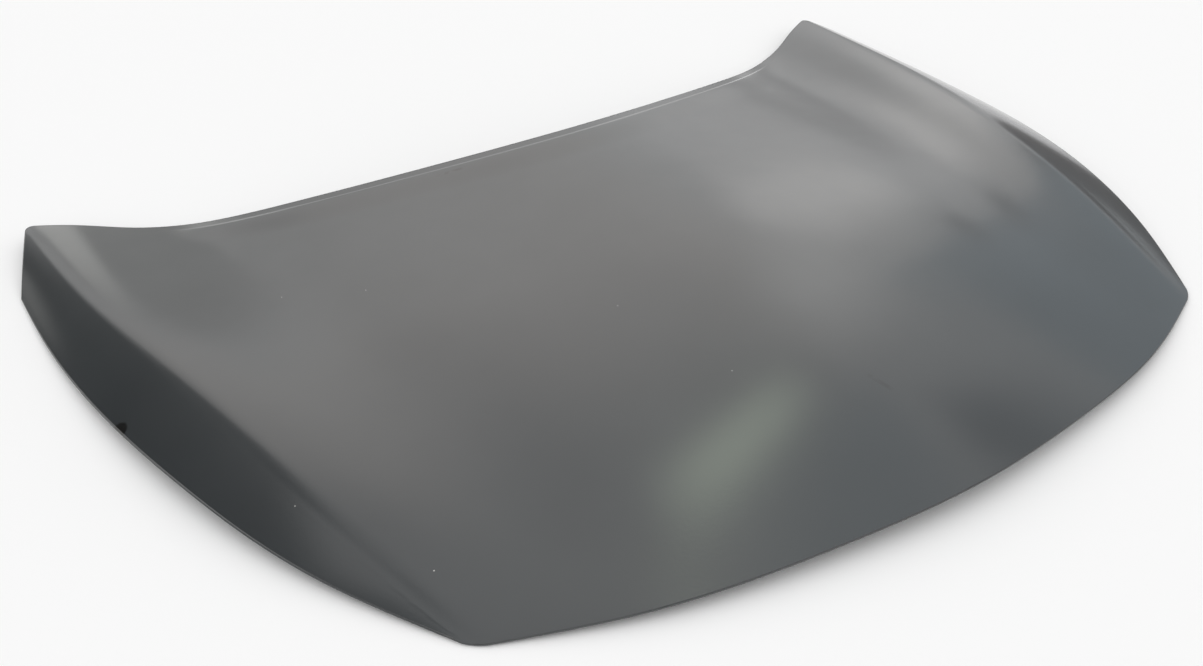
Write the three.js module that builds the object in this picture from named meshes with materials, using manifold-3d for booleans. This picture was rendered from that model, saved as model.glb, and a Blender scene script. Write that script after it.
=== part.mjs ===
// A car bonnet as it comes from the press shop: a steel outer skin, hemmed round a pressed inner panel.
// Between the two lie the hinge and latch reinforcements with their weld nuts, a brace and mastic dabs.
// Millimetres. X runs across the car, the front edge is towards -Y and the windscreen edge towards +Y.
import * as THREE from "three";
import { mergeVertices } from "three/addons/utils/BufferGeometryUtils.js";
import Module from "manifold-3d";

const wasm = await Module();
wasm.setup();

// Sheets, and the gap kept between pieces that touch
const skinThickness = 0.7;
const innerThickness = 0.7;
const touchGap = 0.3;

// The folded hem round the edge, with room for the inner panel's flange in the fold
const hemReturn = 8;
const hemClearance = 0.5;
const cornerRelief = 44;
const hemGap = innerThickness + 2 * hemClearance;
const hemRadius = skinThickness + hemGap / 2;
const outerRollSteps = 3;
const innerRollSteps = 2;

// Corners of the skin: x, y, z on the right half, heights from the side corner
const rearCentre = [0, 385, 95];
const rearCorner = [680, 662, 19];
const sideCorner = [721, 513, 0];
const frontCorner = [504, -276, 0];
const sideFrontCorner = [513, -265, 0.5];
const frontCentre = [0, -385, 22];

// How far each edge bows from its chord: fraction of the chord, then x, y and z
const rearBow = [
  [0.3, 0, -39, 0],
  [0.55, 0, -49, -10],
  [0.7, 0, -31, -25],
  [0.82, 0, -22, -20],
  [0.91, 0, -10, -8],
];
const creaseBow = [
  [0.25, 24, 0, 18],
  [0.5, 30, 0, 33],
  [0.75, 24, 0, 26],
];
const sideBow = [
  [0.12, 23, 0, 2],
  [0.36, 55, 0, 10],
  [0.61, 64, 0, 16],
  [0.84, 43, 0, 8],
];
const frontBow = [
  [0.35, 0, -23, 3.4],
  [0.7, 0, -25.6, 3.4],
];

// The turned-up lip along the windscreen edge, which ends in the valleys beside the corners
const lipWidth = 10;
const lipRise = 2.6;
const lipFull = 0.68;
const lipEnd = 0.8;

// The soft shoulder inside the crease, and the crown of the side facet
const shoulderWidth = 22;
const shoulderDrop = 2.4;
const shoulderFade = 150;
const facetCrown = 3;

// Rounding of the rear corners and of the front corners, along the edge
const rearRounding = 9;
const frontRounding = 12;

// Inner panel: distances below the skin's top face, and the channel's widths
const flangeDepth = 4.5;
const hemZone = 22;
const channelDepth = 24;
const channelTop = 84;
const channelFloor = 52;
const ribDepth = 17;
const ribTop = 54;
const ribFloor = 28;

// Hinge pads and reinforcements
const padClearOfRest = 4;
const hingePad = [74, 112];
const hingeInset = [98, 172];
const padDraft = 8;
const hingePlateThickness = 1.8;
const hingePlateMargin = 5;
const hingePlateFlange = 7;
const hingePlateRounding = 10;
const hingeFlangeSetback = 12;
const hingeBoltPitch = 56;
const hingeBoltHole = 9;
const hingeNut = { flats: 13, height: 6.5, bore: 8 };

// Latch pad and reinforcement
const latchPad = [264, 72];
const latchInset = 88;
const latchPadDepth = 34;
const latchPlateThickness = 1.5;
const latchPlateSize = [136, 58];
const latchPlateRounding = 12;
const latchBoltPitch = 64;
const latchBoltHole = 7;
const latchNut = { flats: 10, height: 5, bore: 6 };
const strikerSlot = [34, 16];

// The brace that holds up the skin over the latch
const braceWidth = 46;
const braceThickness = 0.8;
const braceTop = 150;
const braceFoot = 20;
const braceSlope = 26;

// Mastic dabs between the inner panel or the brace and the skin
const dabDiameter = 22;
const dabSides = 12;
const braceMastic = 3.6;

// Holes in the channel floor, and the hole for the prop rod
const accessHole = 24;
const propHole = [22, 14];

// Mesh fineness: columns across the main face, rows along it, and the narrow strips at the edges
const mainColumns = 11;
const columnCrowding = 1.35;
const shoulderColumn = 0.45;
const facetColumns = [1, 0.62, 0.26, 0];
const facetStart = 1.1;
const facetRing = 12;
const facetRingMost = 0.3;
const middleRows = 14;
const edgeRing = 0.0145;
const endStrip = 0.045;
const rowLean = 0.04;
const leanZone = [0.96, 1.05];
const roundSides = 10;

// Limits of the hem: how far a corner is mitred, and how much of the first strip the hem may fill
const leastMitre = 0.7;
const hemShare = 0.9;

// How far channels and cutters run past the sheet, and the channel floor's least height over the hinge pad
const overhead = 12;
const cutterReach = 60;
const floorOverPad = 1;

// Places across the skin, on the right half: the crease and the side edge
const atCrease = 1;
const atSide = 2;

// How far a search for the skin's height may go, just inside the side edge and the front edge
const searchAcross = 1.95;
const searchAlong = [-0.05, 0.99];
const searchRounds = 12;
const searchStep = 1e-3;

const lerp = THREE.MathUtils.lerp;
const clamp = THREE.MathUtils.clamp;
const restLevel = -2 * hemRadius;

// A smooth natural cubic through values at given stations
function cubicThrough(at, values) {
  const n = at.length;
  const bend = new Array(n).fill(0);
  const upper = new Array(n).fill(0);
  for (let i = 1; i < n - 1; i++) {
    const before = at[i] - at[i - 1];
    const after = at[i + 1] - at[i];
    const pull = (values[i + 1] - values[i]) / after - (values[i] - values[i - 1]) / before;
    const pivot = 2 * (before + after) - before * upper[i - 1];
    upper[i] = after / pivot;
    bend[i] = (6 * pull - before * bend[i - 1]) / pivot;
  }
  for (let i = n - 2; i > 0; i--) bend[i] -= upper[i] * bend[i + 1];
  return (x) => {
    let i = 0;
    while (i < n - 2 && x > at[i + 1]) i++;
    const h = at[i + 1] - at[i];
    const right = (x - at[i]) / h;
    const left = 1 - right;
    const bending = (left ** 3 - left) * bend[i] + (right ** 3 - right) * bend[i + 1];
    return left * values[i] + right * values[i + 1] + (bending * h * h) / 6;
  };
}

// An edge from one corner to another that bows from its chord, as a function of the chord's fraction.
// A mirrored edge starts on the middle line and runs on to the other side for negative fractions.
function bowedEdge(start, end, bows, mirrored) {
  const knots = [[0, ...start], ...bows.map((bow) => knotOn(start, end, bow)), [1, ...end]];
  const half = knots.slice(1).reverse();
  const all = mirrored ? [...half.map(([f, x, y, z]) => [-f, -x, y, z]), ...knots] : knots;
  const at = all.map((knot) => knot[0]);
  const along = [1, 2, 3].map((axis) => cubicThrough(at, all.map((knot) => knot[axis])));
  return (f) => new THREE.Vector3(along[0](f), along[1](f), along[2](f));
}

function knotOn(start, end, [fraction, ...bow]) {
  return [fraction, ...bow.map((shift, axis) => lerp(start[axis], end[axis], fraction) + shift)];
}

const rearEdge = bowedEdge(rearCentre, rearCorner, rearBow, true);
const frontEdge = bowedEdge(frontCentre, frontCorner, frontBow, true);
const crease = bowedEdge(rearCorner, frontCorner, creaseBow, false);
const sideEdge = bowedEdge(sideCorner, sideFrontCorner, sideBow, false);

// How much of the lip is there at a place across the skin
function lipShare(across) {
  return 1 - THREE.MathUtils.smoothstep(Math.abs(across), lipFull, lipEnd);
}

// How far the skin lies below its plain form behind the lip
function lipDip(across, along, length) {
  const ramp = Math.min(1, (along * length) / lipWidth);
  return lipRise * lipShare(across) * ramp * (1 - along) ** 2;
}

// How far the skin stands above its plain form inside the crease
function shoulderRise(across, along, halfWidth) {
  const inside = (1 - Math.abs(across)) * halfWidth;
  const rise = Math.sin((Math.min(1, inside / shoulderWidth) * Math.PI) / 2);
  const fade = 1 - THREE.MathUtils.smoothstep(inside, shoulderWidth, shoulderFade);
  return shoulderDrop * rise * fade * Math.sin(Math.PI * along) ** 0.5;
}

// The top face. Across: 0 on the middle line, 1 on the crease, 2 on the side edge. Along: 0 rear, 1 front.
function skinPoint(across, along) {
  const onCrease = crease(along);
  if (Math.abs(across) > atCrease) return facetPoint(across, along, onCrease);
  const rear = rearEdge(across);
  const point = rear.clone().lerp(frontEdge(across), along);
  point.x += across * (onCrease.x - lerp(rearCorner[0], frontCorner[0], along));
  point.z += onCrease.z - lerp(rearCorner[2], frontCorner[2], along);
  point.z -= lipDip(across, along, rear.y - frontEdge(across).y);
  point.z += shoulderRise(across, along, onCrease.x);
  return point;
}

// The facet outside the crease
function facetPoint(across, along, onCrease) {
  const out = Math.abs(across) - atCrease;
  const point = onCrease.lerp(sideEdge(along), out);
  point.z += facetCrown * 4 * out * (1 - out) * (1 - along);
  point.x *= Math.sign(across);
  return point;
}

// Height of the skin's top face over a place in plan
function skinHeight(x, y) {
  let across = x / rearCorner[0];
  let along = (rearCentre[1] - y) / (rearCentre[1] - frontCentre[1]);
  for (let round = 0; round < searchRounds; round++) {
    const here = skinPoint(across, along);
    const dx = skinPoint(across + searchStep, along).sub(here).divideScalar(searchStep);
    const dy = skinPoint(across, along + searchStep).sub(here).divideScalar(searchStep);
    const det = dx.x * dy.y - dx.y * dy.x;
    across += ((x - here.x) * dy.y - (y - here.y) * dy.x) / det;
    along += ((y - here.y) * dx.x - (x - here.x) * dx.y) / det;
    across = clamp(across, -searchAcross, searchAcross);
    along = clamp(along, ...searchAlong);
  }
  return skinPoint(across, along).z;
}

// Places across the skin where the grid has a column at one place along: facet, crease, shoulder, middle
function columnsAt(along) {
  const halfWidth = crease(along).x;
  const facetWidth = crease(along).distanceTo(sideEdge(along));
  const ring = atSide - Math.min(facetRing / facetWidth, facetRingMost);
  const inner = atCrease - shoulderWidth / halfWidth;
  const facet = facetColumns.map((share) => lerp(facetStart, ring, share));
  const half = [atSide, ...facet, atCrease, lerp(atCrease, inner, shoulderColumn), inner];
  for (let i = 1; i <= mainColumns; i++) half.push(inner * (1 - (i / mainColumns) ** columnCrowding));
  const left = half.map((across) => -across);
  return [...left, ...half.slice(0, -1).reverse()];
}

// Places along the skin where the grid has a row, with one close to each end for the hem and the lip
function rowPlaces() {
  const rows = [0, edgeRing, endStrip];
  for (let i = 1; i <= middleRows; i++) rows.push(lerp(endStrip, 1 - endStrip, i / middleRows));
  return [...rows, 1 - edgeRing, 1];
}

// A row's place at one column: on the facet the rows lean back from its slanting rear end
function leaningPlace(along, across) {
  const share = THREE.MathUtils.smoothstep(Math.abs(across), ...leanZone);
  return along + share * rowLean * Math.min(1, along / edgeRing) * (1 - along) ** 3;
}

// Rounds the grid's edge near a corner, along the row and along the facet's short end
function roundCorner(edge, corner, reach) {
  const tip = edge[corner].clone();
  const pointAt = (direction) => pointAlong(edge, corner, direction, reach);
  const before = pointAt(-1);
  const after = pointAt(1);
  edge.forEach((point, index) => {
    const away = Math.min(1, point.distanceTo(tip) / reach);
    if (away === 1) return;
    const turn = 0.5 * (index < corner ? 1 - away : 1 + away);
    const first = before.clone().lerp(tip, turn);
    edge[index] = first.lerp(tip.clone().lerp(after, turn), turn);
  });
}

// The point on a row at a distance from one of its points
function pointAlong(edge, from, direction, distance) {
  const tip = edge[from];
  let index = from + direction;
  while (edge[index + direction] && edge[index].distanceTo(tip) < distance) index += direction;
  const outer = edge[index];
  const inner = edge[index - direction];
  const near = inner.distanceTo(tip);
  return inner.clone().lerp(outer, (distance - near) / (outer.distanceTo(tip) - near));
}

// The grid of points on the skin's top face, row by row from the rear, each row from left to right
function skinGrid() {
  const rows = rowPlaces();
  const grid = rows.map((along) => {
    return columnsAt(along).map((across) => skinPoint(across, leaningPlace(along, across)));
  });
  const last = rows.length - 1;
  const leftCrease = columnsAt(0).indexOf(-atCrease);
  for (const corner of [leftCrease, grid[0].length - 1 - leftCrease]) {
    roundCorner(grid[0], corner, rearRounding);
    roundCorner(grid[last], corner, frontRounding);
  }
  return grid;
}

// Rows and columns of the grid's edge, clockwise seen from above
function edgeLoop(grid) {
  const lastRow = grid.length - 1;
  const lastColumn = grid[0].length - 1;
  const loop = [];
  for (let j = 0; j < lastColumn; j++) loop.push([0, j]);
  for (let i = 0; i < lastRow; i++) loop.push([i, lastColumn]);
  for (let j = lastColumn; j > 0; j--) loop.push([lastRow, j]);
  for (let i = lastRow; i > 0; i--) loop.push([i, 0]);
  return loop;
}

// At each point of the edge: the way inwards along the sheet, and the way up from it
function edgeFrames(grid) {
  const loop = edgeLoop(grid);
  const lastRow = grid.length - 1;
  const lastColumn = grid[0].length - 1;
  return loop.map(([i, j], k) => {
    const [pi, pj] = loop[(k + loop.length - 1) % loop.length];
    const [ni, nj] = loop[(k + 1) % loop.length];
    const point = grid[i][j];
    const arriving = point.clone().sub(grid[pi][pj]).normalize();
    const leaving = grid[ni][nj].clone().sub(point).normalize();
    const inside = grid[clamp(i, 1, lastRow - 1)][clamp(j, 1, lastColumn - 1)];
    const tangent = arriving.clone().add(leaving).normalize();
    const up = inside.clone().sub(point).cross(tangent).normalize();
    const inwards = tangent.clone().cross(up).normalize();
    const mitre = 1 / Math.max(leastMitre, tangent.dot(arriving));
    const room = hemShare * inside.clone().sub(point).dot(inwards);
    return { i, j, point, up, room, inwards: inwards.multiplyScalar(mitre) };
  });
}

function fromEdge(frame, inwards, up) {
  return frame.point.clone().addScaledVector(frame.inwards, inwards).addScaledVector(frame.up, up);
}

// The upward normal at every point of a grid, averaged from its squares
function gridNormals(grid) {
  const normals = grid.map((row) => row.map(() => new THREE.Vector3()));
  for (let i = 0; i + 1 < grid.length; i++)
    for (let j = 0; j + 1 < grid[0].length; j++) {
      const down = grid[i + 1][j + 1].clone().sub(grid[i][j]);
      const up = grid[i][j + 1].clone().sub(grid[i + 1][j]);
      const normal = down.cross(up).normalize();
      const corners = [normals[i][j], normals[i][j + 1], normals[i + 1][j], normals[i + 1][j + 1]];
      corners.forEach((corner) => corner.add(normal));
    }
  normals.forEach((row) => row.forEach((normal) => normal.normalize()));
  return normals;
}

// A grid moved down along its normals
function lowered(grid, normals, depthAt) {
  return grid.map((row, i) => row.map((p, j) => p.clone().addScaledVector(normals[i][j], -depthAt(i, j))));
}

// A closed sheet from its top and bottom grids and the rings that join their edges, from top to bottom
function closedSheet(top, bottom, rings) {
  const positions = [];
  const triangles = [];
  const add = (point) => positions.push(point.x, point.y, point.z) / 3 - 1;
  const topIndex = top.map((row) => row.map(add));
  const bottomIndex = bottom.map((row) => row.map(add));
  const columns = top[0].length;
  const quad = (a, b, c, d, flip) => {
    if (flip) triangles.push(a, b, d, b, c, d);
    else triangles.push(a, b, c, a, c, d);
  };
  for (let i = 0; i + 1 < top.length; i++)
    for (let j = 0; j + 1 < columns; j++) {
      const flip = j < (columns - 1) / 2;
      const corner = (index) => [index[i][j], index[i + 1][j], index[i + 1][j + 1], index[i][j + 1]];
      quad(...corner(topIndex), flip);
      quad(...corner(bottomIndex).reverse(), !flip);
    }
  const loop = edgeLoop(top);
  const bands = [
    loop.map(([i, j]) => topIndex[i][j]),
    ...rings.map((ring) => ring.map(add)),
    loop.map(([i, j]) => bottomIndex[i][j]),
  ];
  for (let band = 0; band + 1 < bands.length; band++)
    for (let k = 0; k < loop.length; k++) {
      const next = (k + 1) % loop.length;
      quad(bands[band][k], bands[band][next], bands[band + 1][next], bands[band + 1][k], false);
    }
  return meshGeometry(positions, triangles);
}

function meshGeometry(positions, triangles) {
  const geometry = new THREE.BufferGeometry();
  geometry.setAttribute("position", new THREE.Float32BufferAttribute(positions, 3));
  geometry.setIndex(triangles);
  return geometry;
}

// Points of the hem's section after the top face: inwards from the edge, and up from the top face
function hemSection() {
  const section = [];
  for (let i = 1; i <= outerRollSteps; i++) {
    const turn = (Math.PI * i) / outerRollSteps;
    section.push([hemRadius * (1 - Math.sin(turn)), hemRadius * (Math.cos(turn) - 1)]);
  }
  section.push([hemReturn, -2 * hemRadius]);
  section.push([hemReturn, skinThickness - 2 * hemRadius]);
  for (let i = 0; i < innerRollSteps; i++) {
    const turn = Math.PI * (1 - i / innerRollSteps);
    section.push([hemRadius - (hemGap / 2) * Math.sin(turn), (hemGap / 2) * Math.cos(turn) - hemRadius]);
  }
  return section;
}

// The outer skin with its hem, as one closed sheet
function outerSkin(grid, frames) {
  const top = grid.map((row) => row.map((point) => point.clone()));
  frames.forEach((frame) => (top[frame.i][frame.j] = fromEdge(frame, hemRadius, 0)));
  const bottom = lowered(top, gridNormals(grid), () => skinThickness);
  frames.forEach((frame) => (bottom[frame.i][frame.j] = fromEdge(frame, hemRadius, -skinThickness)));
  const reach = (frame, inwards) => Math.min(inwards, Math.max(frame.room, hemRadius * 2));
  const rings = hemSection().map(([inwards, up]) => {
    return frames.map((frame) => fromEdge(frame, reach(frame, inwards), up));
  });
  return closedSheet(top, bottom, rings);
}

// A geometry as a solid that can be joined and cut
function solidOf(geometry) {
  const plain = geometry.index ? geometry.toNonIndexed() : geometry.clone();
  plain.deleteAttribute("normal");
  plain.deleteAttribute("uv");
  const merged = mergeVertices(plain, 1e-4);
  const vertProperties = new Float32Array(merged.attributes.position.array);
  const triVerts = new Uint32Array(merged.index.array);
  return new wasm.Manifold(new wasm.Mesh({ numProp: 3, vertProperties, triVerts }));
}

function geometryOf(solid) {
  const mesh = solid.getMesh();
  return meshGeometry([...mesh.vertProperties], [...mesh.triVerts]);
}

// Distance in plan from a point to the skin's edge
function edgeDistance(point, frames) {
  const gaps = frames.map((frame, k) => {
    const from = frame.point;
    const to = frames[(k + 1) % frames.length].point;
    const run = new THREE.Vector2(to.x - from.x, to.y - from.y);
    const reach = new THREE.Vector2(point.x - from.x, point.y - from.y);
    const share = clamp(reach.dot(run) / run.lengthSq(), 0, 1);
    return reach.addScaledVector(run, -share).length();
  });
  return Math.min(...gaps);
}

// The inner panel's plain sheet: close to the skin in the hem, further from it inside
function innerGrids(grid, frames) {
  const normals = gridNormals(grid);
  const inHem = skinThickness + hemClearance;
  const depthAt = (point) => (edgeDistance(point, frames) < hemZone ? inHem : flangeDepth);
  const make = (extra) => {
    const sheet = lowered(grid, normals, (i, j) => depthAt(grid[i][j]) + extra);
    const edge = hemRadius - hemGap / 2 + 2 * hemClearance;
    frames.forEach((frame) => (sheet[frame.i][frame.j] = fromEdge(frame, edge, -inHem - extra)));
    return sheet;
  };
  return { top: make(0), middle: make(innerThickness / 2), bottom: make(innerThickness) };
}

// A trapezium swept along a path in plan: its floor follows floorAt, and its walls rise past the sheet.
// The half widths are those at the floor and at the inner panel's flange.
function channelSolid(path, closed, floorHalf, topHalf, floorAt) {
  const points = path.map((p) => new THREE.Vector2(p.x, p.y));
  const count = points.length;
  const stations = points.map((point, k) => {
    const before = points[closed ? (k + count - 1) % count : Math.max(k - 1, 0)];
    const after = points[closed ? (k + 1) % count : Math.min(k + 1, count - 1)];
    const tangent = after.clone().sub(before).normalize();
    const normal = new THREE.Vector2(-tangent.y, tangent.x);
    const place = (sideways, heightAt) => {
      const at = point.clone().addScaledVector(normal, sideways);
      return new THREE.Vector3(at.x, at.y, heightAt(at.x, at.y));
    };
    const skin = skinHeight(point.x, point.y);
    const floor = floorAt(point.x, point.y);
    const spread = (topHalf - floorHalf) / Math.max(1, skin - flangeDepth - floor);
    const wide = topHalf + spread * (flangeDepth + overhead);
    const above = () => skin + overhead;
    return [place(-wide, above), place(-floorHalf, floorAt), place(floorHalf, floorAt), place(wide, above)];
  });
  return sweptSolid(stations, closed);
}

// A solid through a row of sections with the same number of points, capped at its ends where it is open
function sweptSolid(stations, closed) {
  const sides = stations[0].length;
  const positions = stations.flat().flatMap((point) => [point.x, point.y, point.z]);
  const triangles = [];
  const spans = closed ? stations.length : stations.length - 1;
  for (let k = 0; k < spans; k++)
    for (let side = 0; side < sides; side++) {
      const a = k * sides + side;
      const b = k * sides + ((side + 1) % sides);
      const c = ((k + 1) % stations.length) * sides + ((side + 1) % sides);
      const d = ((k + 1) % stations.length) * sides + side;
      triangles.push(a, d, b, b, d, c);
    }
  if (!closed) {
    const last = (stations.length - 1) * sides;
    for (let side = 1; side + 1 < sides; side++) {
      triangles.push(0, side, side + 1);
      triangles.push(last, last + side + 1, last + side);
    }
  }
  const solid = solidOf(meshGeometry(positions, triangles));
  return solid.volume() > 0 ? solid : solidOf(meshGeometry(positions, triangles.reverse()));
}

// A smooth closed path through places on the right half of the skin, mirrored to the left
function mirroredLoop(places, steps) {
  const right = places.map(([across, along]) => skinPoint(across, along));
  const left = right.slice(1, -1).reverse().map((p) => new THREE.Vector3(-p.x, p.y, p.z));
  return new THREE.CatmullRomCurve3([...right, ...left], true).getPoints(steps).slice(0, -1);
}

// The channel round the panel and the ribs of its V, in places across and along the skin
const ringPlaces = [
  [0, 0.105],
  [0.3, 0.1],
  [0.58, 0.095],
  [0.78, 0.115],
  [0.885, 0.21],
  [0.905, 0.4],
  [0.905, 0.6],
  [0.87, 0.78],
  [0.7, 0.885],
  [0.35, 0.9],
  [0, 0.905],
];
const ringSteps = 48;
const ribStart = [0.5, 0.1];
const ribEnd = [0.13, 0.9];
const ribSteps = 10;

// Lightening cut-outs on the right half and the middle one, each rounded at its corners
const sideCutout = [
  [0.62, 0.22],
  [0.755, 0.25],
  [0.76, 0.66],
  [0.62, 0.78],
  [0.34, 0.78],
];
const middleCutout = [
  [-0.3, 0.21],
  [0, 0.215],
  [0.3, 0.21],
  [0.14, 0.6],
  [-0.14, 0.6],
];
const cutoutRounding = 34;

// Places of the access holes along the channel floor
const accessPlaces = [
  [0.22, 0.102],
  [0.44, 0.098],
  [0.905, 0.34],
  [0.905, 0.5],
  [0.905, 0.66],
  [0.8, 0.855],
  [0.52, 0.9],
];

// Places of the mastic dabs on the inner panel's flange, on the right half and on the middle line
const dabPlaces = [
  [0.2, 0.185],
  [0.68, 0.182],
  [0.51, 0.3],
  [0.27, 0.4],
  [0.42, 0.5],
  [0.325, 0.7],
  [0.45, 0.815],
  [0.793, 0.36],
  [0.79, 0.6],
];
const middleDabPlaces = [
  [0, 0.185],
  [0, 0.7],
];
const braceDabs = [-50, 0, 50];
const propPlace = [-0.66, 0.889];

// A polygon with round corners, as a shape in plan
function roundedShape(corners, radius) {
  const shape = new THREE.Shape();
  corners.forEach((corner, k) => {
    const before = corners[(k + corners.length - 1) % corners.length];
    const after = corners[(k + 1) % corners.length];
    const from = corner.clone().add(before.clone().sub(corner).setLength(radius));
    const to = corner.clone().add(after.clone().sub(corner).setLength(radius));
    if (k === 0) shape.moveTo(from.x, from.y);
    else shape.lineTo(from.x, from.y);
    shape.quadraticCurveTo(corner.x, corner.y, to.x, to.y);
  });
  shape.closePath();
  return shape;
}

function rectangle(width, length) {
  const corners = [[-1, -1], [1, -1], [1, 1], [-1, 1]];
  return corners.map(([x, y]) => new THREE.Vector2((x * width) / 2, (y * length) / 2));
}

function circlePath(x, y, diameter) {
  return new THREE.Path().absarc(x, y, diameter / 2, 0, 2 * Math.PI, true);
}

function circleShape(x, y, diameter) {
  return new THREE.Shape().absarc(x, y, diameter / 2, 0, 2 * Math.PI, false);
}

// An upright solid of a shape in plan, from one height to another
function upright(shape, from, to) {
  const options = { depth: to - from, bevelEnabled: false, curveSegments: roundSides / 2 };
  return new THREE.ExtrudeGeometry(shape, options).translate(0, 0, from);
}

function cutter(shape) {
  return solidOf(upright(shape, restLevel - channelDepth, rearCentre[2] + cutterReach));
}

function roundCutter(x, y, diameter) {
  return cutter(circleShape(x, y, diameter));
}

// Where the pads lie, for the right hinge and the latch
const hingeAt = new THREE.Vector2(rearCorner[0] - hingeInset[0], rearCorner[1] - hingeInset[1]);
const latchAt = new THREE.Vector2(0, frontCentre[1] + latchInset);
const hingeLevel = restLevel + padClearOfRest;
const latchLevel = skinHeight(latchAt.x, latchAt.y) - latchPadDepth;
const hingeBolts = [-0.5, 0.5].map((end) => new THREE.Vector2(0, end * hingeBoltPitch));
const latchBolts = [-0.5, 0.5].map((end) => new THREE.Vector2(end * latchBoltPitch, 0));

// A pad pressed into the panel: a short straight channel with a level floor
function padSolid(at, size, level, side, shrink) {
  const half = size[1] / 2 - shrink;
  const path = [-half, 0, half].map((y) => new THREE.Vector3(side * at.x, at.y + y, 0));
  const floorHalf = size[0] / 2 - shrink;
  return channelSolid(path, false, floorHalf, floorHalf + padDraft, () => level);
}

// Every channel, rib and pad as solids, for the panel's outside or, shrunk by the sheet, for its inside
function pressings(shrink) {
  const thinner = (width) => width / 2 - shrink;
  const raised = shrink - innerThickness;
  const lowest = hingeLevel + floorOverPad;
  const under = (depth) => (x, y) => Math.max(skinHeight(x, y) - depth, lowest) + raised;
  const ring = mirroredLoop(ringPlaces, ringSteps);
  const parts = [channelSolid(ring, true, thinner(channelFloor), thinner(channelTop), under(channelDepth))];
  for (const side of [-1, 1]) {
    const rib = [];
    for (let k = 0; k <= ribSteps; k++) {
      const across = lerp(ribStart[0], ribEnd[0], k / ribSteps);
      rib.push(skinPoint(side * across, lerp(ribStart[1], ribEnd[1], k / ribSteps)));
    }
    parts.push(channelSolid(rib, false, thinner(ribFloor), thinner(ribTop), under(ribDepth)));
    parts.push(padSolid(hingeAt, hingePad, hingeLevel + raised, side, shrink));
  }
  parts.push(padSolid(latchAt, latchPad, latchLevel + raised, 1, shrink));
  return parts.reduce((whole, part) => whole.add(part));
}

function placesToPlan(places, side) {
  const points = places.map(([across, along]) => skinPoint(side * across, along));
  return points.map((point) => new THREE.Vector2(point.x, point.y));
}

// Everything that is punched out of the inner panel
function punchings() {
  const cuts = [cutter(roundedShape(placesToPlan(middleCutout, 1), cutoutRounding))];
  for (const side of [-1, 1]) {
    const corners = placesToPlan(sideCutout, side);
    if (side < 0) corners.reverse();
    cuts.push(cutter(roundedShape(corners, cutoutRounding)));
    for (const at of placesToPlan(accessPlaces, side)) cuts.push(roundCutter(at.x, at.y, accessHole));
    const bolts = hingeBolts.map((bolt) => [side * hingeAt.x + bolt.x, hingeAt.y + bolt.y]);
    for (const [x, y] of bolts) cuts.push(roundCutter(x, y, hingeBoltHole));
    for (const [x, y] of [rearCorner, frontCorner, sideFrontCorner]) {
      cuts.push(roundCutter(side * x, y, cornerRelief));
    }
  }
  for (const bolt of latchBolts) cuts.push(roundCutter(bolt.x, latchAt.y + bolt.y, latchBoltHole));
  const slot = rectangle(...strikerSlot).map((corner) => corner.add(latchAt));
  cuts.push(cutter(roundedShape(slot, strikerSlot[1] / 3)));
  const [propAt] = placesToPlan([propPlace], 1);
  const prop = rectangle(...propHole).map((corner) => corner.add(propAt));
  cuts.push(cutter(roundedShape(prop, propHole[1] / 3)));
  return cuts.reduce((whole, part) => whole.add(part));
}

// The pressed inner panel
function innerPanel(grid, frames) {
  const sheets = innerGrids(grid, frames);
  const sheet = solidOf(closedSheet(sheets.top, sheets.bottom, []));
  const deepest = restLevel - channelDepth;
  const deep = sheets.middle.map((row) => row.map((p) => new THREE.Vector3(p.x, p.y, deepest)));
  const below = solidOf(closedSheet(sheets.middle, deep, []));
  const outside = pressings(0).intersect(below);
  return geometryOf(sheet.add(outside).subtract(pressings(innerThickness)).subtract(punchings()));
}

// A flat plate with bolt holes and a flange turned up along its outboard edge
function hingePlate(side) {
  const width = hingePad[0] - 2 * hingePlateMargin;
  const length = hingePad[1] - 2 * hingePlateMargin;
  const plate = roundedShape(rectangle(width, length), hingePlateRounding);
  hingeBolts.forEach((bolt) => plate.holes.push(circlePath(bolt.x, bolt.y, hingeBoltHole)));
  const flat = solidOf(upright(plate, 0, hingePlateThickness));
  const wallLength = length - 2 * hingeFlangeSetback;
  const wall = new THREE.BoxGeometry(hingePlateThickness, wallLength, hingePlateFlange);
  wall.translate(side * (width / 2 - hingePlateThickness / 2), 0, hingePlateFlange / 2);
  return geometryOf(flat.add(solidOf(wall)));
}

// The latch plate, with its striker slot and bolt holes
function latchPlate() {
  const plate = roundedShape(rectangle(...latchPlateSize), latchPlateRounding);
  latchBolts.forEach((bolt) => plate.holes.push(circlePath(bolt.x, bolt.y, latchBoltHole)));
  plate.holes.push(roundedShape(rectangle(...strikerSlot), strikerSlot[1] / 3));
  return upright(plate, 0, latchPlateThickness);
}

function weldNut({ flats, height, bore }) {
  const sixth = Math.PI / 3;
  const corner = flats / 2 / Math.cos(sixth / 2);
  const shape = new THREE.Shape();
  shape.moveTo(corner, 0);
  for (let k = 1; k < 6; k++) shape.lineTo(corner * Math.cos(k * sixth), corner * Math.sin(k * sixth));
  shape.closePath();
  shape.holes.push(circlePath(0, 0, bore));
  return upright(shape, 0, height);
}

// Heights of a sheet's upper and lower faces over a place in plan. The line runs a hair beside the place,
// because one that meets an edge between two triangles can miss both.
function facesAt(sheet, x, y) {
  const hair = 0.013;
  const start = new THREE.Vector3(x + hair, y + hair, rearCentre[2] + cutterReach);
  const line = new THREE.Raycaster(start, new THREE.Vector3(0, 0, -1));
  const heights = line.intersectObject(sheet, false).map((hit) => hit.point.z);
  return { upper: heights[0], lower: heights.find((z) => z < heights[0] - touchGap) };
}

function skinUnderside(x, y) {
  return facesAt(outerSkinMesh, x, y).lower;
}

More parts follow.
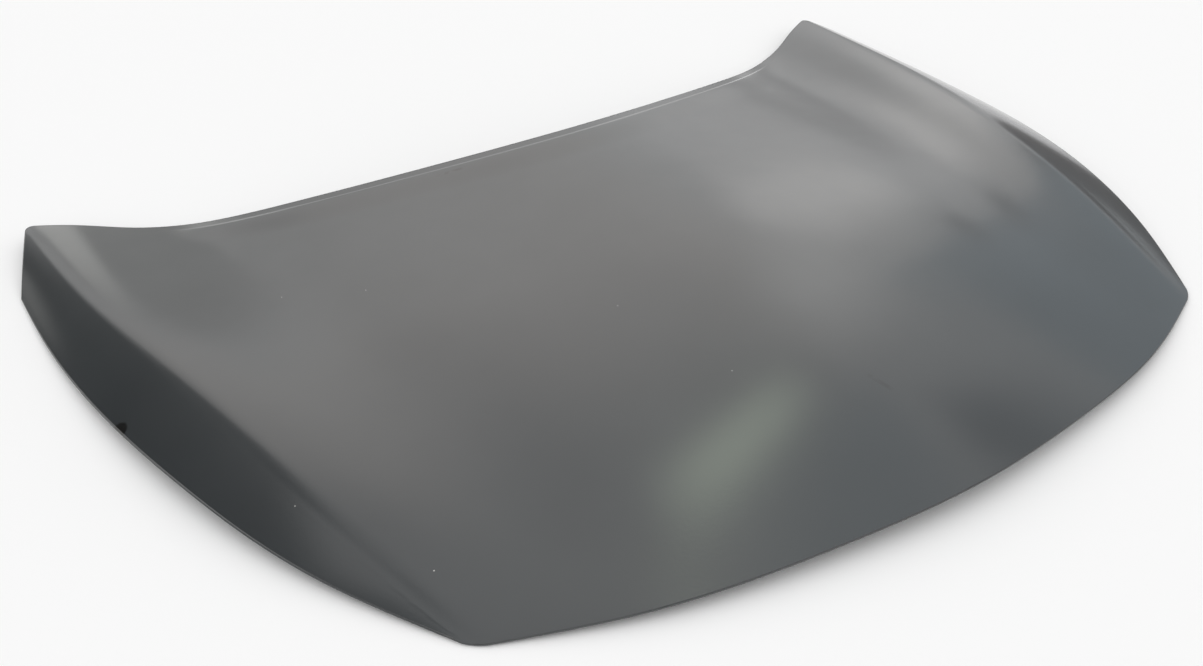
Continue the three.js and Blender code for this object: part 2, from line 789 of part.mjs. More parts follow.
// A dab of mastic, squeezed between the skin and the face below it
function dab(x, y, lowerAt) {
  const ring = [[0, 0]];
  for (let k = 0; k < dabSides; k++) {
    const turn = (2 * Math.PI * k) / dabSides;
    ring.push([(dabDiameter / 2) * Math.cos(turn), (dabDiameter / 2) * Math.sin(turn)]);
  }
  const level = (heightAt) => ring.flatMap(([dx, dy]) => [dx, dy, heightAt(x + dx, y + dy)]);
  const positions = [...level(lowerAt), ...level((u, v) => skinUnderside(u, v) - touchGap)];
  const top = dabSides + 1;
  const triangles = [];
  for (let k = 1; k <= dabSides; k++) {
    const next = (k % dabSides) + 1;
    triangles.push(0, next, k, top, top + k, top + next);
    triangles.push(k, next, top + next, k, top + next, top + k);
  }
  return meshGeometry(positions, triangles);
}

// How high the brace's top face lies: the mastic's height under the skin
function braceLevel(x, y) {
  return skinUnderside(x, y) - braceMastic;
}

// The brace: a hat section whose feet stand on the latch pad and whose top follows the skin
function brace(seat) {
  const half = braceTop / 2;
  const across = [-half - braceSlope - braceFoot, -half - braceSlope, -half, 0, half, half + braceSlope];
  across.push(-across[0]);
  const rowAt = (y) => across.map((x) => {
    return new THREE.Vector3(x, y, Math.abs(x) > half ? seat + braceThickness : braceLevel(x, y));
  });
  const top = [1, -1].map((edge) => rowAt(latchAt.y + (edge * braceWidth) / 2));
  return closedSheet(top, lowered(top, gridNormals(top), () => braceThickness), []);
}

function coating(color, roughness) {
  return new THREE.MeshStandardMaterial({ color, roughness, metalness: 0, side: THREE.DoubleSide });
}

const skinPrimer = coating(0x6a6d6e, 0.42);
const innerPrimer = coating(0x5c5f60, 0.5);
const platePrimer = coating(0x55585a, 0.5);
const mastic = coating(0x2a2a2c, 0.9);

const bonnet = new THREE.Group();

function place(name, geometry, material, x = 0, y = 0, z = 0) {
  const mesh = new THREE.Mesh(geometry, material);
  mesh.name = name;
  mesh.position.set(x, y, z);
  bonnet.add(mesh);
  return mesh;
}

function addHingeParts(side, name) {
  const seat = hingeLevel + touchGap;
  const nutSeat = seat + hingePlateThickness + touchGap;
  const x = side * hingeAt.x;
  place("hinge_reinforcement_" + name, hingePlate(side), platePrimer, x, hingeAt.y, seat);
  hingeBolts.forEach((bolt, k) => {
    const nut = place(`hinge_nut_${name}_${k + 1}`, weldNut(hingeNut), platePrimer);
    nut.position.set(x + bolt.x, hingeAt.y + bolt.y, nutSeat);
  });
}

function addLatchParts() {
  const seat = latchLevel + touchGap;
  const nutSeat = seat + latchPlateThickness + touchGap;
  place("latch_reinforcement", latchPlate(), platePrimer, 0, latchAt.y, seat);
  latchBolts.forEach((bolt, k) => {
    const nut = place(`latch_nut_${k + 1}`, weldNut(latchNut), platePrimer);
    nut.position.set(bolt.x, latchAt.y + bolt.y, nutSeat);
  });
}

function addBrace() {
  place("latch_brace", brace(latchLevel + touchGap), innerPrimer);
  const onBrace = (x, y) => braceLevel(x, y) + touchGap;
  braceDabs.forEach((x, k) => {
    place(`mastic_brace_${k + 1}`, dab(x, latchAt.y, onBrace), mastic, x, latchAt.y);
  });
}

function addMastic() {
  const onFlange = (x, y) => facesAt(innerPanelMesh, x, y).upper + touchGap;
  const add = (name, at) => place(name, dab(at.x, at.y, onFlange), mastic, at.x, at.y);
  placesToPlan(middleDabPlaces, 1).forEach((at, k) => add(`mastic_middle_${k + 1}`, at));
  placesToPlan(dabPlaces, -1).forEach((at, k) => add(`mastic_left_${k + 1}`, at));
  placesToPlan(dabPlaces, 1).forEach((at, k) => add(`mastic_right_${k + 1}`, at));
}

const grid = skinGrid();
const frames = edgeFrames(grid);
const outerSkinMesh = place("outer_skin", outerSkin(grid, frames), skinPrimer);
const innerPanelMesh = place("inner_panel", innerPanel(grid, frames), innerPrimer);
addHingeParts(-1, "left");
addHingeParts(1, "right");
addLatchParts();
addBrace();
addMastic();

// The origin is under the middle of the skin's box, on the surface that the hem lies on
outerSkinMesh.geometry.computeBoundingBox();
const { min, max } = outerSkinMesh.geometry.boundingBox;
bonnet.position.set(0, -(min.y + max.y) / 2, -min.z);

export default bonnet;
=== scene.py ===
"""A car bonnet in grey primer, lying outer face up on a pale studio floor.

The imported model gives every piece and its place. This script lays a finer skin, inner panel and dabs of
mastic over the same forms, finishes every surface, and sets the floor, the studio cards and the camera.
"""

import math

import bpy
import numpy as np
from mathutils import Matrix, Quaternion, Vector
from mathutils.geometry import delaunay_2d_cdt


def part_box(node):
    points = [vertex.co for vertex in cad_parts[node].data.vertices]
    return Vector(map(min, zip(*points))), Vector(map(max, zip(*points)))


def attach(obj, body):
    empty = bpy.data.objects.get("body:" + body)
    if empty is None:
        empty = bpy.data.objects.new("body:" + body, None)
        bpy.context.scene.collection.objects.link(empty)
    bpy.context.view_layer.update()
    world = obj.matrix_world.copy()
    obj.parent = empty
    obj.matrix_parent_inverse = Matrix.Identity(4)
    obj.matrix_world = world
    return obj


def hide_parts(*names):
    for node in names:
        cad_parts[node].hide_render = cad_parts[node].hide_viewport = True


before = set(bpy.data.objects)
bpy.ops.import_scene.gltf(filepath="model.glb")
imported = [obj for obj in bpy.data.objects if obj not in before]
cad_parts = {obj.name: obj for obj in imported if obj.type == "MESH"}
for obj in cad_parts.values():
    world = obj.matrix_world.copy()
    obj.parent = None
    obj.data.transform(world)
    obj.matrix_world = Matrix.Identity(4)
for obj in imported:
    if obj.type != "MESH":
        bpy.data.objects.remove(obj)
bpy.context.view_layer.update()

MM = 0.001

# The skin's driving sizes in millimetres, as in the part's source
SKIN_THICKNESS = 0.7
HEM_RETURN = 8
HEM_GAP = 1.7
HEM_RADIUS = SKIN_THICKNESS + HEM_GAP / 2

REAR_CENTRE = (0, 385, 95)
REAR_CORNER = (680, 662, 19)
SIDE_CORNER = (721, 513, 0)
FRONT_CORNER = (504, -276, 0)
SIDE_FRONT_CORNER = (513, -265, 0.5)
FRONT_CENTRE = (0, -385, 22)

# How far each edge bows from its chord: fraction of the chord, then x, y and z
REAR_BOW = ((0.3, 0, -39, 0), (0.55, 0, -49, -10), (0.7, 0, -31, -25), (0.82, 0, -22, -20),
            (0.91, 0, -10, -8))
CREASE_BOW = ((0.25, 24, 0, 18), (0.5, 30, 0, 33), (0.75, 24, 0, 26))
SIDE_BOW = ((0.12, 23, 0, 2), (0.36, 55, 0, 10), (0.61, 64, 0, 16), (0.84, 43, 0, 8))
FRONT_BOW = ((0.35, 0, -23, 3.4), (0.7, 0, -25.6, 3.4))

# The lip along the windscreen edge: the valley's depth below the plain form, the edge's, how far the band
# and the whole lip rise from the edge, and where the step, the valley and the lip's two ends lie
LIP_RISE = 2.6
LIP_EDGE = 1.2
LIP_BAND = 0.2
LIP_CREST = 1.2
LIP_STEP = (14, 20)
LIP_FAR = 75
LIP_FULL = 0.68
LIP_END = 0.8

# The shoulder inside each crease, the facet outside it, and how the corners and the creases are rounded
SHOULDER_WIDTH = 22
SHOULDER_DROP = 2.4
SHOULDER_FADE = 150
FACET_CROWN = 3
REAR_ROUNDING = 9
FRONT_ROUNDING = 12
CREASE_ROUNDING = 7
CORNER_FADE_RADII = 3

# Fineness of the skin's mesh
MAIN_COLUMNS = 66
FACET_COLUMNS = 22
ROWS = 150
ROLL_STEPS = 8
END_CROWDING = 1.5
# Extra rows at the lip: first, last and how many
LIP_ROWS = (0.014, 0.032, 16)
# How far the rows lean towards the side corner, where the lean is full, and between which places across
ROW_LEAN = 0.04
LEAN_START = 0.0145
LEAN_ACROSS = (0.96, 1.05)

# How places on the skin are found from points in plan
SEARCH_ROUNDS = 12
SMALL_STEP = 1e-3
ACROSS_LIMIT = 1.99
ALONG_LIMITS = (-0.02, 1.01)

# The inner panel's driving sizes in millimetres, as in the part's source
PANEL_THICKNESS = 0.7
PANEL_EDGE = 1.7
DEPTH_IN_HEM = 1.2
FLANGE_DEPTH = 4.5
FLANGE_STARTS = 10
FLANGE_FULL = 26
CHANNEL_DEPTH = 24
CHANNEL_ABOVE_PAD = 1
CHANNEL_HALF_WIDTHS = (26, 42)
RIB_DEPTH = 17
RIB_HALF_WIDTHS = (14, 27)
PAD_DRAFT = 8
HINGE_PAD = (74, 112)
HINGE_AT = (582, 490)
HINGE_LEVEL = 0.9
HINGE_BOLTS = 56
HINGE_BOLT_HOLE = 9
LATCH_PAD = (264, 72)
LATCH_AT = (0, -297)
LATCH_DEPTH = 34
LATCH_BOLTS = 64
LATCH_BOLT_HOLE = 7
STRIKER_SLOT = (34, 16)
PROP_HOLE = (22, 14)
ACCESS_HOLE = 24
CORNER_RELIEF = 44
CUTOUT_ROUNDING = 34
SLOT_ROUNDING_SHARE = 1 / 3

# Places across and along the skin, on the right half: the channel's middle line, a rib and the holes
RING_PLACES = ((0, 0.105), (0.3, 0.1), (0.58, 0.095), (0.78, 0.115), (0.885, 0.21), (0.905, 0.4),
               (0.905, 0.6), (0.87, 0.78), (0.7, 0.885), (0.35, 0.9), (0, 0.905))
RIB_PLACES = ((0.5, 0.1), (0.13, 0.9))
SIDE_CUTOUT = ((0.62, 0.22), (0.755, 0.25), (0.76, 0.66), (0.62, 0.78), (0.34, 0.78))
MIDDLE_CUTOUT = ((-0.3, 0.21), (0, 0.215), (0.3, 0.21), (0.14, 0.6), (-0.14, 0.6))
ACCESS_PLACES = ((0.22, 0.102), (0.44, 0.098), (0.905, 0.34), (0.905, 0.5), (0.905, 0.66), (0.8, 0.855),
                 (0.52, 0.9))
PROP_PLACE = (-0.66, 0.889)

# Fineness of the inner panel's mesh
FLAT_SPACING = 8
WALL_SPACING = 3.6
RIM_SPACING = 5
CORNER_STEPS = 8
CIRCLE_SIDES = 24
RING_STEPS = 6
RIB_POINTS = 16
MERGE_DISTANCE = 1e-4
SHARP_ANGLE = math.radians(50)

# Wear on the skin, and a near-black half-round patch at the side edge, at places across and along it, with
# radii in millimetres
SPECKS = (((-0.937, 0.893), 0.9), ((-0.218, 0.711), 0.7), ((-0.276, 0.528), 0.7), ((-0.705, 0.295), 0.8),
          ((-0.584, 0.326), 0.7), ((-1.165, 0.755), 0.8))
SCRATCHES = (((-0.822, 0.502), (-0.869, 0.684), 0.7, 0.35),)
RUBS = (((-0.3, 0.041), (-0.235, 0.038), 4, 0.7), ((-0.01, 0.79), (0.012, 0.835), 4, 0.5))
EDGE_MARK = ((-1.97, 0.44), 11)

# Studio cards: azimuth and elevation, half width and half height in degrees, glow, softness and roll
CARD_DISTANCE = 4
CARD_STEP = 0.2
STUDIO_CARDS = (
    ("corner", -3, 17, (4, 6), (1.5, 1.5, 1.45), 0.6, 0),
    ("rear_dim", 3, 17, (16, 11), (0.45, 0.45, 0.44), 0.8, 0),
    ("right_corner", 66, 21, (4, 3.5), (0.4, 0.4, 0.41), 0.8, 0),
    ("right_low", 76, 3, (14.5, 10.5), (0.12, 0.105, 0.1), 0.15, 0),
    ("rear_low", 48, 0, (15, 14), (0.5, 0.5, 0.5), 0.6, 0),
    ("right_dark", 88, 42, (7, 9), (0.15, 0.17, 0.2), 0.9, 0),
    ("right_blue", 81, 24, (16, 10), (0.55, 0.63, 0.69), 0.2, 0),
    ("right_high", 85, 61, (10, 14), (0.68, 0.76, 0.82), 0.8, 0),
    ("left_light", -31, 12, (5, 7), (0.6, 0.6, 0.58), 0.8, 0),
    ("left_dark", -60, 30, (44, 38), (0, 0, 0), 0.3, 0),
    ("left_top", -66, 65, (8, 12), (0.05, 0.05, 0.05), 0.5, 0),
    ("streak", 57, 67, (11, 5), (3.7, 4.2, 3.4), 1, 62),
    ("rear_bright", 51, 23, (10, 9), (1.8, 1.77, 1.74), 0.8, 0),
    ("rear_right", 57, 42, (12, 18), (1.9, 1.87, 1.84), 1, 0),
    ("overhead", 20, 46, (42, 24), (1.46, 1.4, 1.36), 0.8, 0),
)

# Colours and finishes: colour, roughness and how much dust shows
SKIN_FINISH = ((0.0285, 0.0335, 0.0365), 0.42, 0.1)
SKIN_COAT_ROUGHNESS = 0.14
INNER_FINISH = ((0.085, 0.092, 0.094), 0.5, 0.25)
PLATE_FINISH = ((0.07, 0.076, 0.08), 0.45, 0.2)
FLOOR_FINISH = ((0.95, 0.95, 0.95), 0.9)
MASTIC_FINISH = ((0.03, 0.03, 0.032), 0.85)
MASTIC_TONES = ((0.02, 0.02, 0.021), (0.045, 0.045, 0.047))
DUST_COLOR = (0.3, 0.3, 0.29)
SPECK_COLOR = (0.5, 0.5, 0.48)
SCRATCH_COLOR = (0.12, 0.12, 0.12)
RUB_COLOR = (0.008, 0.008, 0.009)
EDGE_MARK_COLOR = (0.004, 0.004, 0.004)

# Patterns in the finishes, as clouds in a metre and their fineness, and how strongly they show
CLOUDS = (5, 3)
CLOUD_TONES = (0.93, 1.08)
DUST = (420, 5, 0.7)
DUST_RANGE = (0.66, 0.8)
GLOSS_CLOUDS = (14, 4)
GLOSS_CHANGE = 0.015
DIMPLES = (260, 1)
DIMPLE_HEIGHT = 0.00003
RUB_CLOUDS = (90, 3)
RUB_RANGE = (0.4, 0.6)
WRINKLES = (300, 4, 0.6)
WRINKLE_HEIGHT = 0.0008
MIDDLE_RANGE = (0.3, 0.7)

# How soft the marks are, as shares of the radius, and where a stroke is at full strength: its place along
# the stroke times the rest of the way
SPOT_SOFTNESS = 0.4
EDGE_MARK_SOFTNESS = 0.25
STROKE_CORE = 0.3
STROKE_FADE = 0.2

# The photograph's viewpoint, found from the outline of the bonnet, in metres and millimetres of lens
CAMERA_PLACE = (-0.7906, -1.0524, 0.8402)
CAMERA_TARGET = (-0.1914, -0.1331, 0.0504)
CAMERA_LENS = 35.91
CAMERA_SENSOR = 36
FLOOR_SIZE = 40

# A dab of mastic
DAB_RADIUS = 11
DAB_WAIST = 0.94
DAB_SIDES = 32
DAB_CORE = 0.01
DAB_RINGS = ((DAB_CORE, 0), (DAB_RADIUS * DAB_WAIST, 0), (DAB_RADIUS, 0.5), (DAB_RADIUS * DAB_WAIST, 1),
             (DAB_CORE, 1))
TOUCH_GAP = 0.3
MASTIC_NODES = [f"mastic_{side}_{k + 1}" for side, count in (("left", 9), ("right", 9), ("middle", 2))
                for k in range(count)]


def smoothstep(value, low, high):
    """0 below the low end of a range, 1 above the high end, and a smooth rise between them."""
    share = np.clip((value - low) / (high - low), 0, 1)
    return share * share * (3 - 2 * share)


def mix(a, b, share):
    """A value between two others."""
    return a + (b - a) * share


def unit(vectors):
    """Vectors brought to a length of 1."""
    return vectors / np.linalg.norm(vectors, axis=-1, keepdims=True)


def natural_cubic(at, values):
    """A smooth curve through values at given stations, straight at its ends."""
    count = len(at)
    gaps = np.diff(at)
    slopes = np.diff(values, axis=0) / gaps[:, None]
    system = np.eye(count)
    pull = np.zeros_like(values)
    for i in range(1, count - 1):
        system[i, i - 1 : i + 2] = gaps[i - 1], 2 * (gaps[i - 1] + gaps[i]), gaps[i]
        pull[i] = 6 * (slopes[i] - slopes[i - 1])
    bend = np.linalg.solve(system, pull)

    def curve(place):
        span = np.clip(np.searchsorted(at, place) - 1, 0, count - 2)
        width = gaps[span][..., None]
        right = (place - at[span])[..., None] / width
        left = 1 - right
        bending = (left**3 - left) * bend[span] + (right**3 - right) * bend[span + 1]
        return left * values[span] + right * values[span + 1] + bending * width**2 / 6

    return curve


def bowed_edge(start, end, bows, mirrored=False):
    """An edge between two corners that bows from its chord. A mirrored one runs on for negative fractions."""
    start, end = np.array(start, float), np.array(end, float)
    knots = [(0.0, start)]
    knots += [(bow[0], mix(start, end, bow[0]) + np.array(bow[1:])) for bow in bows]
    knots += [(1.0, end)]
    if mirrored:
        knots = [(-at, point * (-1, 1, 1)) for at, point in reversed(knots[1:])] + knots
    return natural_cubic(np.array([at for at, _ in knots]), np.array([point for _, point in knots]))


rear_edge = bowed_edge(REAR_CENTRE, REAR_CORNER, REAR_BOW, mirrored=True)
front_edge = bowed_edge(FRONT_CENTRE, FRONT_CORNER, FRONT_BOW, mirrored=True)
crease = bowed_edge(REAR_CORNER, FRONT_CORNER, CREASE_BOW)
side_edge = bowed_edge(SIDE_CORNER, SIDE_FRONT_CORNER, SIDE_BOW)


def lip_dip(distance):
    """How far the skin lies below its plain form at a distance from the windscreen edge: a band that falls
    gently to the edge, a small step up to a crest, and a shallow valley in front of it."""
    band = LIP_BAND * np.minimum(1, distance / LIP_STEP[0])
    step = (LIP_CREST - LIP_BAND) * smoothstep(distance, *LIP_STEP)
    valley = (LIP_RISE - LIP_EDGE + LIP_CREST) * smoothstep(distance, LIP_STEP[1], LIP_FAR)
    return LIP_EDGE - band - step + valley


def skin_points(across, along):
    """The skin's top face in millimetres. Across: 0 middle, 1 crease, 2 side edge. Along: 0 rear, 1 front."""
    across, along = np.broadcast_arrays(np.asarray(across, float), np.asarray(along, float))
    on_crease = crease(along)
    inner = np.clip(across, -1, 1)
    rear = rear_edge(inner)
    front = front_edge(inner)
    main = mix(rear, front, along[..., None])
    main[..., 0] += inner * (on_crease[..., 0] - mix(REAR_CORNER[0], FRONT_CORNER[0], along))
    main[..., 2] += on_crease[..., 2] - mix(REAR_CORNER[2], FRONT_CORNER[2], along)
    length = rear[..., 1] - front[..., 1]
    share = 1 - smoothstep(np.abs(inner), LIP_FULL, LIP_END)
    main[..., 2] -= share * lip_dip(along * length) * (1 - along) ** 2
    inside = (1 - np.abs(inner)) * on_crease[..., 0]
    rise = np.sin(np.minimum(1, inside / SHOULDER_WIDTH) * np.pi / 2)
    fade = 1 - smoothstep(inside, SHOULDER_WIDTH, SHOULDER_FADE)
    main[..., 2] += SHOULDER_DROP * rise * fade * np.sin(np.pi * np.clip(along, 0, 1)) ** 0.5
    out = np.clip(np.abs(across) - 1, 0, 1)
    facet = mix(on_crease, side_edge(along), out[..., None])
    facet[..., 2] += FACET_CROWN * 4 * out * (1 - out) * (1 - along)
    facet[..., 0] *= np.sign(across)
    return np.where((np.abs(across) > 1)[..., None], facet, main)


def crowded(count, power):
    """Places from 0 to 1 that crowd towards both ends."""
    even = np.linspace(-1, 1, count)
    return 0.5 + 0.5 * np.sign(even) * (1 - (1 - np.abs(even)) ** power)


def skin_grid():
    """The top face as rows of points from the rear to the front, each from left to right."""
    main = 1 - (1 - np.linspace(0, 1, MAIN_COLUMNS)) ** END_CROWDING
    facet = 1 + crowded(FACET_COLUMNS, END_CROWDING)[1:]
    half = np.concatenate([main, facet])
    across = np.concatenate([-half[:0:-1], half])[None, :]
    along = np.unique(np.concatenate([crowded(ROWS, END_CROWDING), np.linspace(*LIP_ROWS)]))[:, None]
    share = smoothstep(np.abs(across), *LEAN_ACROSS)
    leaning = along + share * ROW_LEAN * np.minimum(1, along / LEAN_START) * (1 - along) ** 3
    grid = skin_points(across, leaning)
    soften_creases(grid, across, leaning)
    crease_columns = [int(np.argmin(np.abs(across[0] - side))) for side in (-1, 1)]
    for column in crease_columns:
        round_corner(grid, 0, column, REAR_ROUNDING)
        round_corner(grid, -1, column, FRONT_ROUNDING)
    return grid


def soften_creases(grid, across, along):
    """Rounds the fold between the main face and each facet over a short distance to either side of it."""
    along = np.broadcast_to(along, grid.shape[:2])
    for side in (-1, 1):
        tip = skin_points(np.full_like(along, side), along)
        inward = skin_points(np.full_like(along, side * (1 - SMALL_STEP)), along) - tip
        outward = skin_points(np.full_like(along, side * (1 + SMALL_STEP)), along) - tip
        offset = side * np.broadcast_to(across, along.shape) - 1
        lengths = np.linalg.norm(inward, axis=-1), np.linalg.norm(outward, axis=-1)
        slope = np.where(offset < 0, *lengths) / SMALL_STEP
        turn = np.clip(0.5 + 0.5 * offset * slope / CREASE_ROUNDING, 0, 1)[..., None]
        start = tip + unit(inward) * CREASE_ROUNDING
        end = tip + unit(outward) * CREASE_ROUNDING
        curve = mix(mix(start, tip, turn), mix(tip, end, turn), turn)
        near = np.abs(offset * slope)[..., None] < CREASE_ROUNDING
        grid[:] = np.where(near, curve, grid)


def round_corner(grid, row, column, reach):
    """Rounds the outline at a corner, and lets the rows behind it follow for a short way."""
    edge = grid[row]
    tip = edge[column].copy()
    distance = np.linalg.norm(edge - tip, axis=-1)
    ends = []
    for direction in (-1, 1):
        outer = column
        while distance[outer + direction] < reach:
            outer += direction
        near, far = distance[outer], distance[outer + direction]
        ends.append(mix(edge[outer], edge[outer + direction], (reach - near) / (far - near)))
    away = np.minimum(1, distance / reach)
    turn = 0.5 * np.where(np.arange(len(edge)) < column, 1 - away, 1 + away)[:, None]
    curve = mix(mix(ends[0], tip, turn), mix(tip, ends[1], turn), turn)
    shift = np.where((away < 1)[:, None], curve - edge, 0)
    fade = 1 - smoothstep(np.linalg.norm(grid - edge, axis=-1), 0, CORNER_FADE_RADII * reach)
    grid += shift[None] * fade[..., None]


def edge_loop(rows, columns):
    """Rows and columns of the grid's edge, clockwise seen from above."""
    right, down = np.arange(columns - 1), np.arange(rows - 1)
    row = np.concatenate([0 * right, down, 0 * right + rows - 1, rows - 1 - down])
    column = np.concatenate([right, 0 * down + columns - 1, columns - 1 - right, 0 * down])
    return row, column


def grid_normals(grid):
    """Unit normals at a grid's points, each the mean of the faces around it."""
    normals = np.zeros_like(grid)
    face = unit(np.cross(grid[1:, 1:] - grid[:-1, :-1], grid[:-1, 1:] - grid[1:, :-1]))
    for i in (0, 1):
        for j in (0, 1):
            normals[i : i + len(face), j : j + face.shape[1]] += face
    return unit(normals)


def edge_frames(grid, loop):
    """At each point of the edge: the point, the way inwards along the sheet, and the way up from it."""
    rows, columns = grid.shape[:2]
    point = grid[loop]
    arriving = unit(point - np.roll(point, 1, axis=0))
    leaving = unit(np.roll(point, -1, axis=0) - point)
    tangent = unit(arriving + leaving)
    up = grid_normals(grid)[loop]
    up = unit(up - tangent * np.sum(up * tangent, axis=-1, keepdims=True))
    return point, unit(np.cross(tangent, up)), up


def hem_section():
    """The hem's section after the top face, as distances inwards from the edge and up from the top face."""
    turns = np.pi * np.arange(1, ROLL_STEPS + 1) / ROLL_STEPS
    outer = [(HEM_RADIUS * (1 - math.sin(t)), HEM_RADIUS * (math.cos(t) - 1)) for t in turns]
    inner_radius = HEM_GAP / 2
    back = [math.pi - t for t in np.pi * np.arange(ROLL_STEPS) / ROLL_STEPS]
    inner = [(HEM_RADIUS - inner_radius * math.sin(t), inner_radius * math.cos(t) - HEM_RADIUS) for t in back]
    flat = [(HEM_RETURN, -2 * HEM_RADIUS), (HEM_RETURN, SKIN_THICKNESS - 2 * HEM_RADIUS)]
    return outer + flat + inner


def closed_sheet(name, top, bottom, loop, rings):
    """A closed sheet from its two faces and the rings that join their edges, as a mesh object in metres."""
    rows, columns = top.shape[:2]
    count = rows * columns
    index = np.arange(count).reshape(rows, columns)
    points = np.concatenate([top.reshape(-1, 3), bottom.reshape(-1, 3), *rings])
    square = [index[:-1, :-1], index[1:, :-1], index[1:, 1:], index[:-1, 1:]]
    upper = np.stack([corner.ravel() for corner in square], axis=1)
    ring_start = 2 * count + len(loop[0]) * np.arange(len(rings))
    edge = index[loop]
    bands = [edge, *[start + np.arange(len(edge)) for start in ring_start], edge + count]
    faces = [upper, upper[:, ::-1] + count]
    for above, below in zip(bands, bands[1:]):
        faces.append(np.stack([above, np.roll(above, -1), np.roll(below, -1), below], axis=1))
    return mesh_piece(name, points, np.concatenate(faces).tolist())


def make_skin():
    """The outer skin with its hem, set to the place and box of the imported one."""
    grid = skin_grid()
    loop = edge_loop(*grid.shape[:2])
    point, inwards, up = edge_frames(grid, loop)
    normals = grid_normals(grid)
    top = grid.copy()
    top[loop] = point + inwards * HEM_RADIUS
    bottom = grid - normals * SKIN_THICKNESS
    bottom[loop] = point + inwards * HEM_RADIUS - up * SKIN_THICKNESS
    rings = [point + inwards * inside + up * rise for inside, rise in hem_section()]
    panel_outline = (point + inwards * PANEL_EDGE)[:, :2]
    return closed_sheet("bonnet_skin", top, bottom, loop, rings), panel_outline


def places_in_plan(across, along, x, y):
    """One step of Newton's method from places on the skin towards points in plan."""
    here = skin_points(across, along)
    dx = (skin_points(across + SMALL_STEP, along) - here) / SMALL_STEP
    dy = (skin_points(across, along + SMALL_STEP) - here) / SMALL_STEP
    turn = dx[:, 0] * dy[:, 1] - dx[:, 1] * dy[:, 0]
    off_x, off_y = x - here[:, 0], y - here[:, 1]
    across = across + (off_x * dy[:, 1] - off_y * dy[:, 0]) / turn
    along = along + (off_y * dx[:, 0] - off_x * dx[:, 1]) / turn
    return np.clip(across, -ACROSS_LIMIT, ACROSS_LIMIT), np.clip(along, *ALONG_LIMITS)


def skin_over(plan):
    """Height of the skin's top face over points in plan, and how upright its normal is there."""
    x, y = plan[:, 0], plan[:, 1]
    across = x / REAR_CORNER[0]
    along = (REAR_CENTRE[1] - y) / (REAR_CENTRE[1] - FRONT_CENTRE[1])
    for _ in range(SEARCH_ROUNDS):
        across, along = places_in_plan(across, along, x, y)
    here = skin_points(across, along)
    sideways = skin_points(across + SMALL_STEP, along) - here
    lengthways = skin_points(across, along + SMALL_STEP) - here
    return here[:, 2], np.abs(unit(np.cross(sideways, lengthways))[:, 2])


def path_distance(plan, path, closed=True):
    """Distance in plan from points to a path of straight pieces."""
    ends = np.roll(path, -1, axis=0)
    runs = ends - path
    if not closed:
        path, runs = path[:-1], runs[:-1]
    reach = plan[:, None] - path
    share = np.clip(np.sum(reach * runs, axis=-1) / np.sum(runs * runs, axis=-1), 0, 1)
    return np.linalg.norm(reach - share[..., None] * runs, axis=-1).min(axis=1)


def is_inside(plan, loop):
    """Whether points in plan lie inside a closed loop."""
    x, y = plan[:, :1], plan[:, 1:]
    x0, y0 = loop.T
    x1, y1 = np.roll(loop, -1, axis=0).T
    crossing = (y0 > y) != (y1 > y)
    at = x0 + (y - y0) * (x1 - x0) / np.where(y1 == y0, 1, y1 - y0)
    return (crossing & (x < at)).sum(axis=1) % 2 == 1


def rectangle_distance(plan, centre, size):
    """Distance in plan from points to a rectangle, negative inside it."""
    past = np.abs(plan - centre) - np.array(size) / 2
    return np.linalg.norm(np.maximum(past, 0), axis=1) + np.minimum(past.max(axis=1), 0)


def closed_curve(points, steps):
    """A smooth closed path through points, even where they are unevenly spaced."""
    ahead = np.roll(points, -1, axis=0) - points
    behind = np.roll(ahead, 1, axis=0)
    gap = np.sqrt(np.linalg.norm(ahead, axis=1, keepdims=True))
    gap_behind = np.roll(gap, 1, axis=0)
    tangent = behind / gap_behind - (ahead + behind) / (gap + gap_behind) + ahead / gap
    t = (np.arange(steps) / steps)[:, None, None]
    leaving, arriving = tangent * gap, np.roll(tangent, -1, axis=0) * gap
    curve = points + t * leaving + t**2 * (3 * ahead - 2 * leaving - arriving)
    curve = curve + t**3 * (leaving + arriving - 2 * ahead)
    return curve.transpose(1, 0, 2).reshape(-1, points.shape[1])


def rounded_loop(corners, radius):
    """A polygon with round corners."""
    t = np.linspace(0, 1, CORNER_STEPS)[:, None]
    loop = []
    for before, corner, after in zip(np.roll(corners, 1, axis=0), corners, np.roll(corners, -1, axis=0)):
        start = corner + radius * unit(before - corner)
        end = corner + radius * unit(after - corner)
        loop.append(mix(mix(start, corner, t), mix(corner, end, t), t))
    return np.concatenate(loop)


def round_rectangle(centre, size):
    """A rectangle with round corners."""
    corners = np.array([(-1, -1), (1, -1), (1, 1), (-1, 1)]) * np.array(size) / 2
    return rounded_loop(corners + centre, size[1] * SLOT_ROUNDING_SHARE)


def circle(centre, diameter):
    """A circle in plan, as a loop of points."""
    turn = np.linspace(0, 2 * np.pi, CIRCLE_SIDES, endpoint=False)
    return centre + diameter / 2 * np.stack([np.cos(turn), np.sin(turn)], axis=1)


def subdivided(loop, spacing):
    """A loop with points added, so that no two neighbours are further apart than the spacing."""
    parts = []
    for start, end in zip(loop, np.roll(loop, -1, axis=0)):
        count = max(1, math.ceil(np.linalg.norm(end - start) / spacing))
        parts.append(mix(start, end, np.arange(count)[:, None] / count))
    return np.concatenate(parts)


def in_plan(places, side=1):
    """Points in plan below places on the skin, on one side of the bonnet."""
    across, along = np.array(places, float).T
    return skin_points(side * across, along)[:, :2]


def mirrored(points):
    """Points in plan on the other side of the bonnet."""
    return points * (-1, 1)


